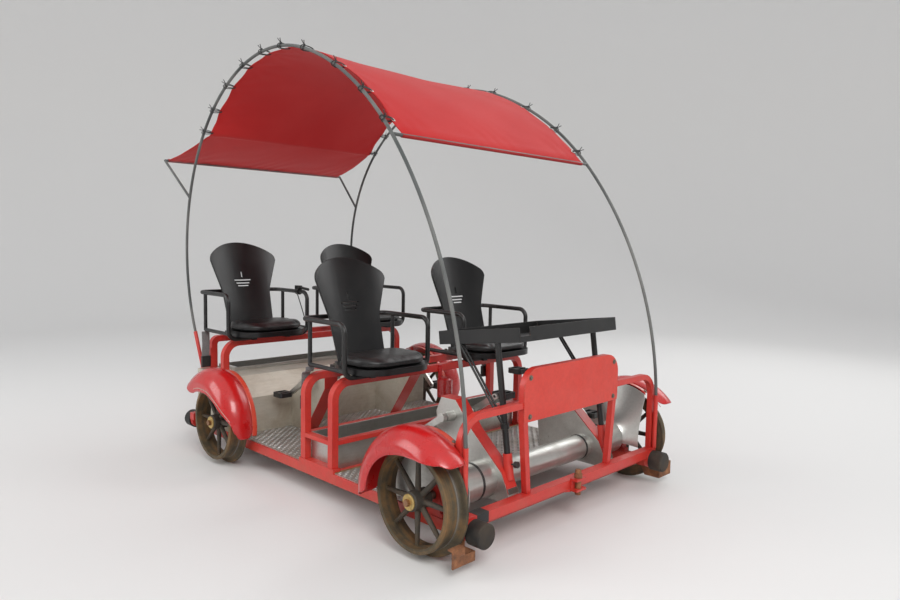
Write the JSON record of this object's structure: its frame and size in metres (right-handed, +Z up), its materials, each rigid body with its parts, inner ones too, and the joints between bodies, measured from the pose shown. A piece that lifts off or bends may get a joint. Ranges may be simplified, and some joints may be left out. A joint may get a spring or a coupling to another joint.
{
  "type": "pedal railcar",
  "caption": "Pedal railcar with two rows of bucket seats, a bowed cloth canopy, a front tray, flanged spoked wheels, mudguards and pedal cranks before each seat.",
  "frame": {"origin": "middle of the overall box, at the lowest point of the wheel flanges", "axes": "+X forward, +Y to the car's left, +Z up"},
  "size_m": [2.634, 1.676, 2.0901],
  "materials": {
    "red_paint": "gloss, worn",
    "rubber": "matt",
    "rusty_steel": "rusty",
    "tread_plate": "satin",
    "cast_wheel": "rusty, tread polished",
    "axle_steel": "satin",
    "stainless": "brushed",
    "black_steel": "satin",
    "crank_alloy": "satin",
    "black_plastic": "gloss",
    "seat_vinyl": "satin",
    "canopy_cloth": "matt",
    "grey_pole": "satin",
    "cable_cover": "matt",
    "belt_webbing": "matt"
  },
  "bodies": {
    "chassis": {"axle_boxes": "red_paint", "belt_buckles": "black_plastic", "belt_straps": "belt_webbing", "board_hoop": "red_paint", "brake_cable": "cable_cover", "brake_lever": "black_steel", "bumper_pads": "rubber", "canister": "red_paint", "canopy": "canopy_cloth", "canopy_poles": "grey_pole", "canopy_struts": "grey_pole", "case_strips": "red_paint", "chassis_frame": "red_paint", "cup_knobs": "black_plastic", "floor_panels": "tread_plate", "front_armrests": "black_steel", "front_axle_cover": "stainless", "front_bin": "stainless", "front_guard_rail": "red_paint", "front_hitch": "red_paint", "front_mudguards": "red_paint", "front_pedal_cases": "stainless", "front_seat_cushions": "seat_vinyl", "front_seat_frame": "red_paint", "front_seat_shells": "black_plastic", "hitch_pin": "rusty_steel", "number_board": "red_paint", "pole_sockets": "red_paint", "post_cups": "red_paint", "rail_sweepers": "rusty_steel", "rear_armrests": "black_steel", "rear_axle_cover": "stainless", "rear_bin": "stainless", "rear_mudguards": "red_paint", "rear_pedal_cases": "stainless", "rear_seat_cushions": "seat_vinyl", "rear_seat_frame": "red_paint", "rear_seat_shells": "black_plastic", "rear_tow_eye": "red_paint", "seat_slides": "black_steel", "tray": "black_steel", "tray_posts": "black_steel"},
    "front_wheelset": {"front_wheels": "cast_wheel", "front_axle": "axle_steel"},
    "rear_wheelset": {"rear_wheels": "cast_wheel", "rear_axle": "axle_steel"},
    "front_right_crank": {"front_right_crank": "crank_alloy"},
    "front_right_outer_pedal": {"front_right_outer_pedal": "black_plastic"},
    "front_right_inner_pedal": {"front_right_inner_pedal": "black_plastic"},
    "front_left_crank": {"front_left_crank": "crank_alloy"},
    "front_left_outer_pedal": {"front_left_outer_pedal": "black_plastic"},
    "front_left_inner_pedal": {"front_left_inner_pedal": "black_plastic"},
    "rear_right_crank": {"rear_right_crank": "crank_alloy"},
    "rear_right_outer_pedal": {"rear_right_outer_pedal": "black_plastic"},
    "rear_right_inner_pedal": {"rear_right_inner_pedal": "black_plastic"},
    "rear_left_crank": {"rear_left_crank": "crank_alloy"},
    "rear_left_outer_pedal": {"rear_left_outer_pedal": "black_plastic"},
    "rear_left_inner_pedal": {"rear_left_inner_pedal": "black_plastic"}
  },
  "joints": [
    {"name": "front_wheelset_turn", "type": "hinge", "parent": "chassis", "child": "front_wheelset", "pos_m": [1.055, 0, 0.223], "axis": [0, 1, 0], "continuous": true},
    {"name": "rear_wheelset_turn", "type": "hinge", "parent": "chassis", "child": "rear_wheelset", "pos_m": [-0.479, 0, 0.223], "axis": [0, 1, 0], "continuous": true},
    {"name": "front_right_crank_turn", "type": "hinge", "parent": "chassis", "child": "front_right_crank", "pos_m": [0.873, -0.345, 0.446], "axis": [0, 1, 0], "continuous": true},
    {"name": "front_right_outer_pedal_turn", "type": "hinge", "parent": "front_right_crank", "child": "front_right_outer_pedal", "pos_m": [0.73713, -0.433, 0.35777], "axis": [0, 1, 0], "continuous": true},
    {"name": "front_right_inner_pedal_turn", "type": "hinge", "parent": "front_right_crank", "child": "front_right_inner_pedal", "pos_m": [1.00886, -0.257, 0.53423], "axis": [0, 1, 0], "continuous": true},
    {"name": "front_left_crank_turn", "type": "hinge", "parent": "chassis", "child": "front_left_crank", "pos_m": [0.873, 0.345, 0.446], "axis": [0, 1, 0], "continuous": true},
    {"name": "front_left_outer_pedal_turn", "type": "hinge", "parent": "front_left_crank", "child": "front_left_outer_pedal", "pos_m": [0.99339, 0.433, 0.3376], "axis": [0, 1, 0], "continuous": true},
    {"name": "front_left_inner_pedal_turn", "type": "hinge", "parent": "front_left_crank", "child": "front_left_inner_pedal", "pos_m": [0.75261, 0.257, 0.5544], "axis": [0, 1, 0], "continuous": true},
    {"name": "rear_right_crank_turn", "type": "hinge", "parent": "chassis", "child": "rear_right_crank", "pos_m": [-0.182, -0.3, 0.44], "axis": [0, 1, 0], "continuous": true},
    {"name": "rear_right_outer_pedal_turn", "type": "hinge", "parent": "rear_right_crank", "child": "rear_right_outer_pedal", "pos_m": [-0.31787, -0.4, 0.35177], "axis": [0, 1, 0], "continuous": true},
    {"name": "rear_right_inner_pedal_turn", "type": "hinge", "parent": "rear_right_crank", "child": "rear_right_inner_pedal", "pos_m": [-0.04614, -0.2, 0.52823], "axis": [0, 1, 0], "continuous": true},
    {"name": "rear_left_crank_turn", "type": "hinge", "parent": "chassis", "child": "rear_left_crank", "pos_m": [-0.182, 0.3, 0.44], "axis": [0, 1, 0], "continuous": true},
    {"name": "rear_left_outer_pedal_turn", "type": "hinge", "parent": "rear_left_crank", "child": "rear_left_outer_pedal", "pos_m": [-0.06161, 0.4, 0.3316], "axis": [0, 1, 0], "continuous": true},
    {"name": "rear_left_inner_pedal_turn", "type": "hinge", "parent": "rear_left_crank", "child": "rear_left_inner_pedal", "pos_m": [-0.30239, 0.2, 0.5484], "axis": [0, 1, 0], "continuous": true}
  ]
}
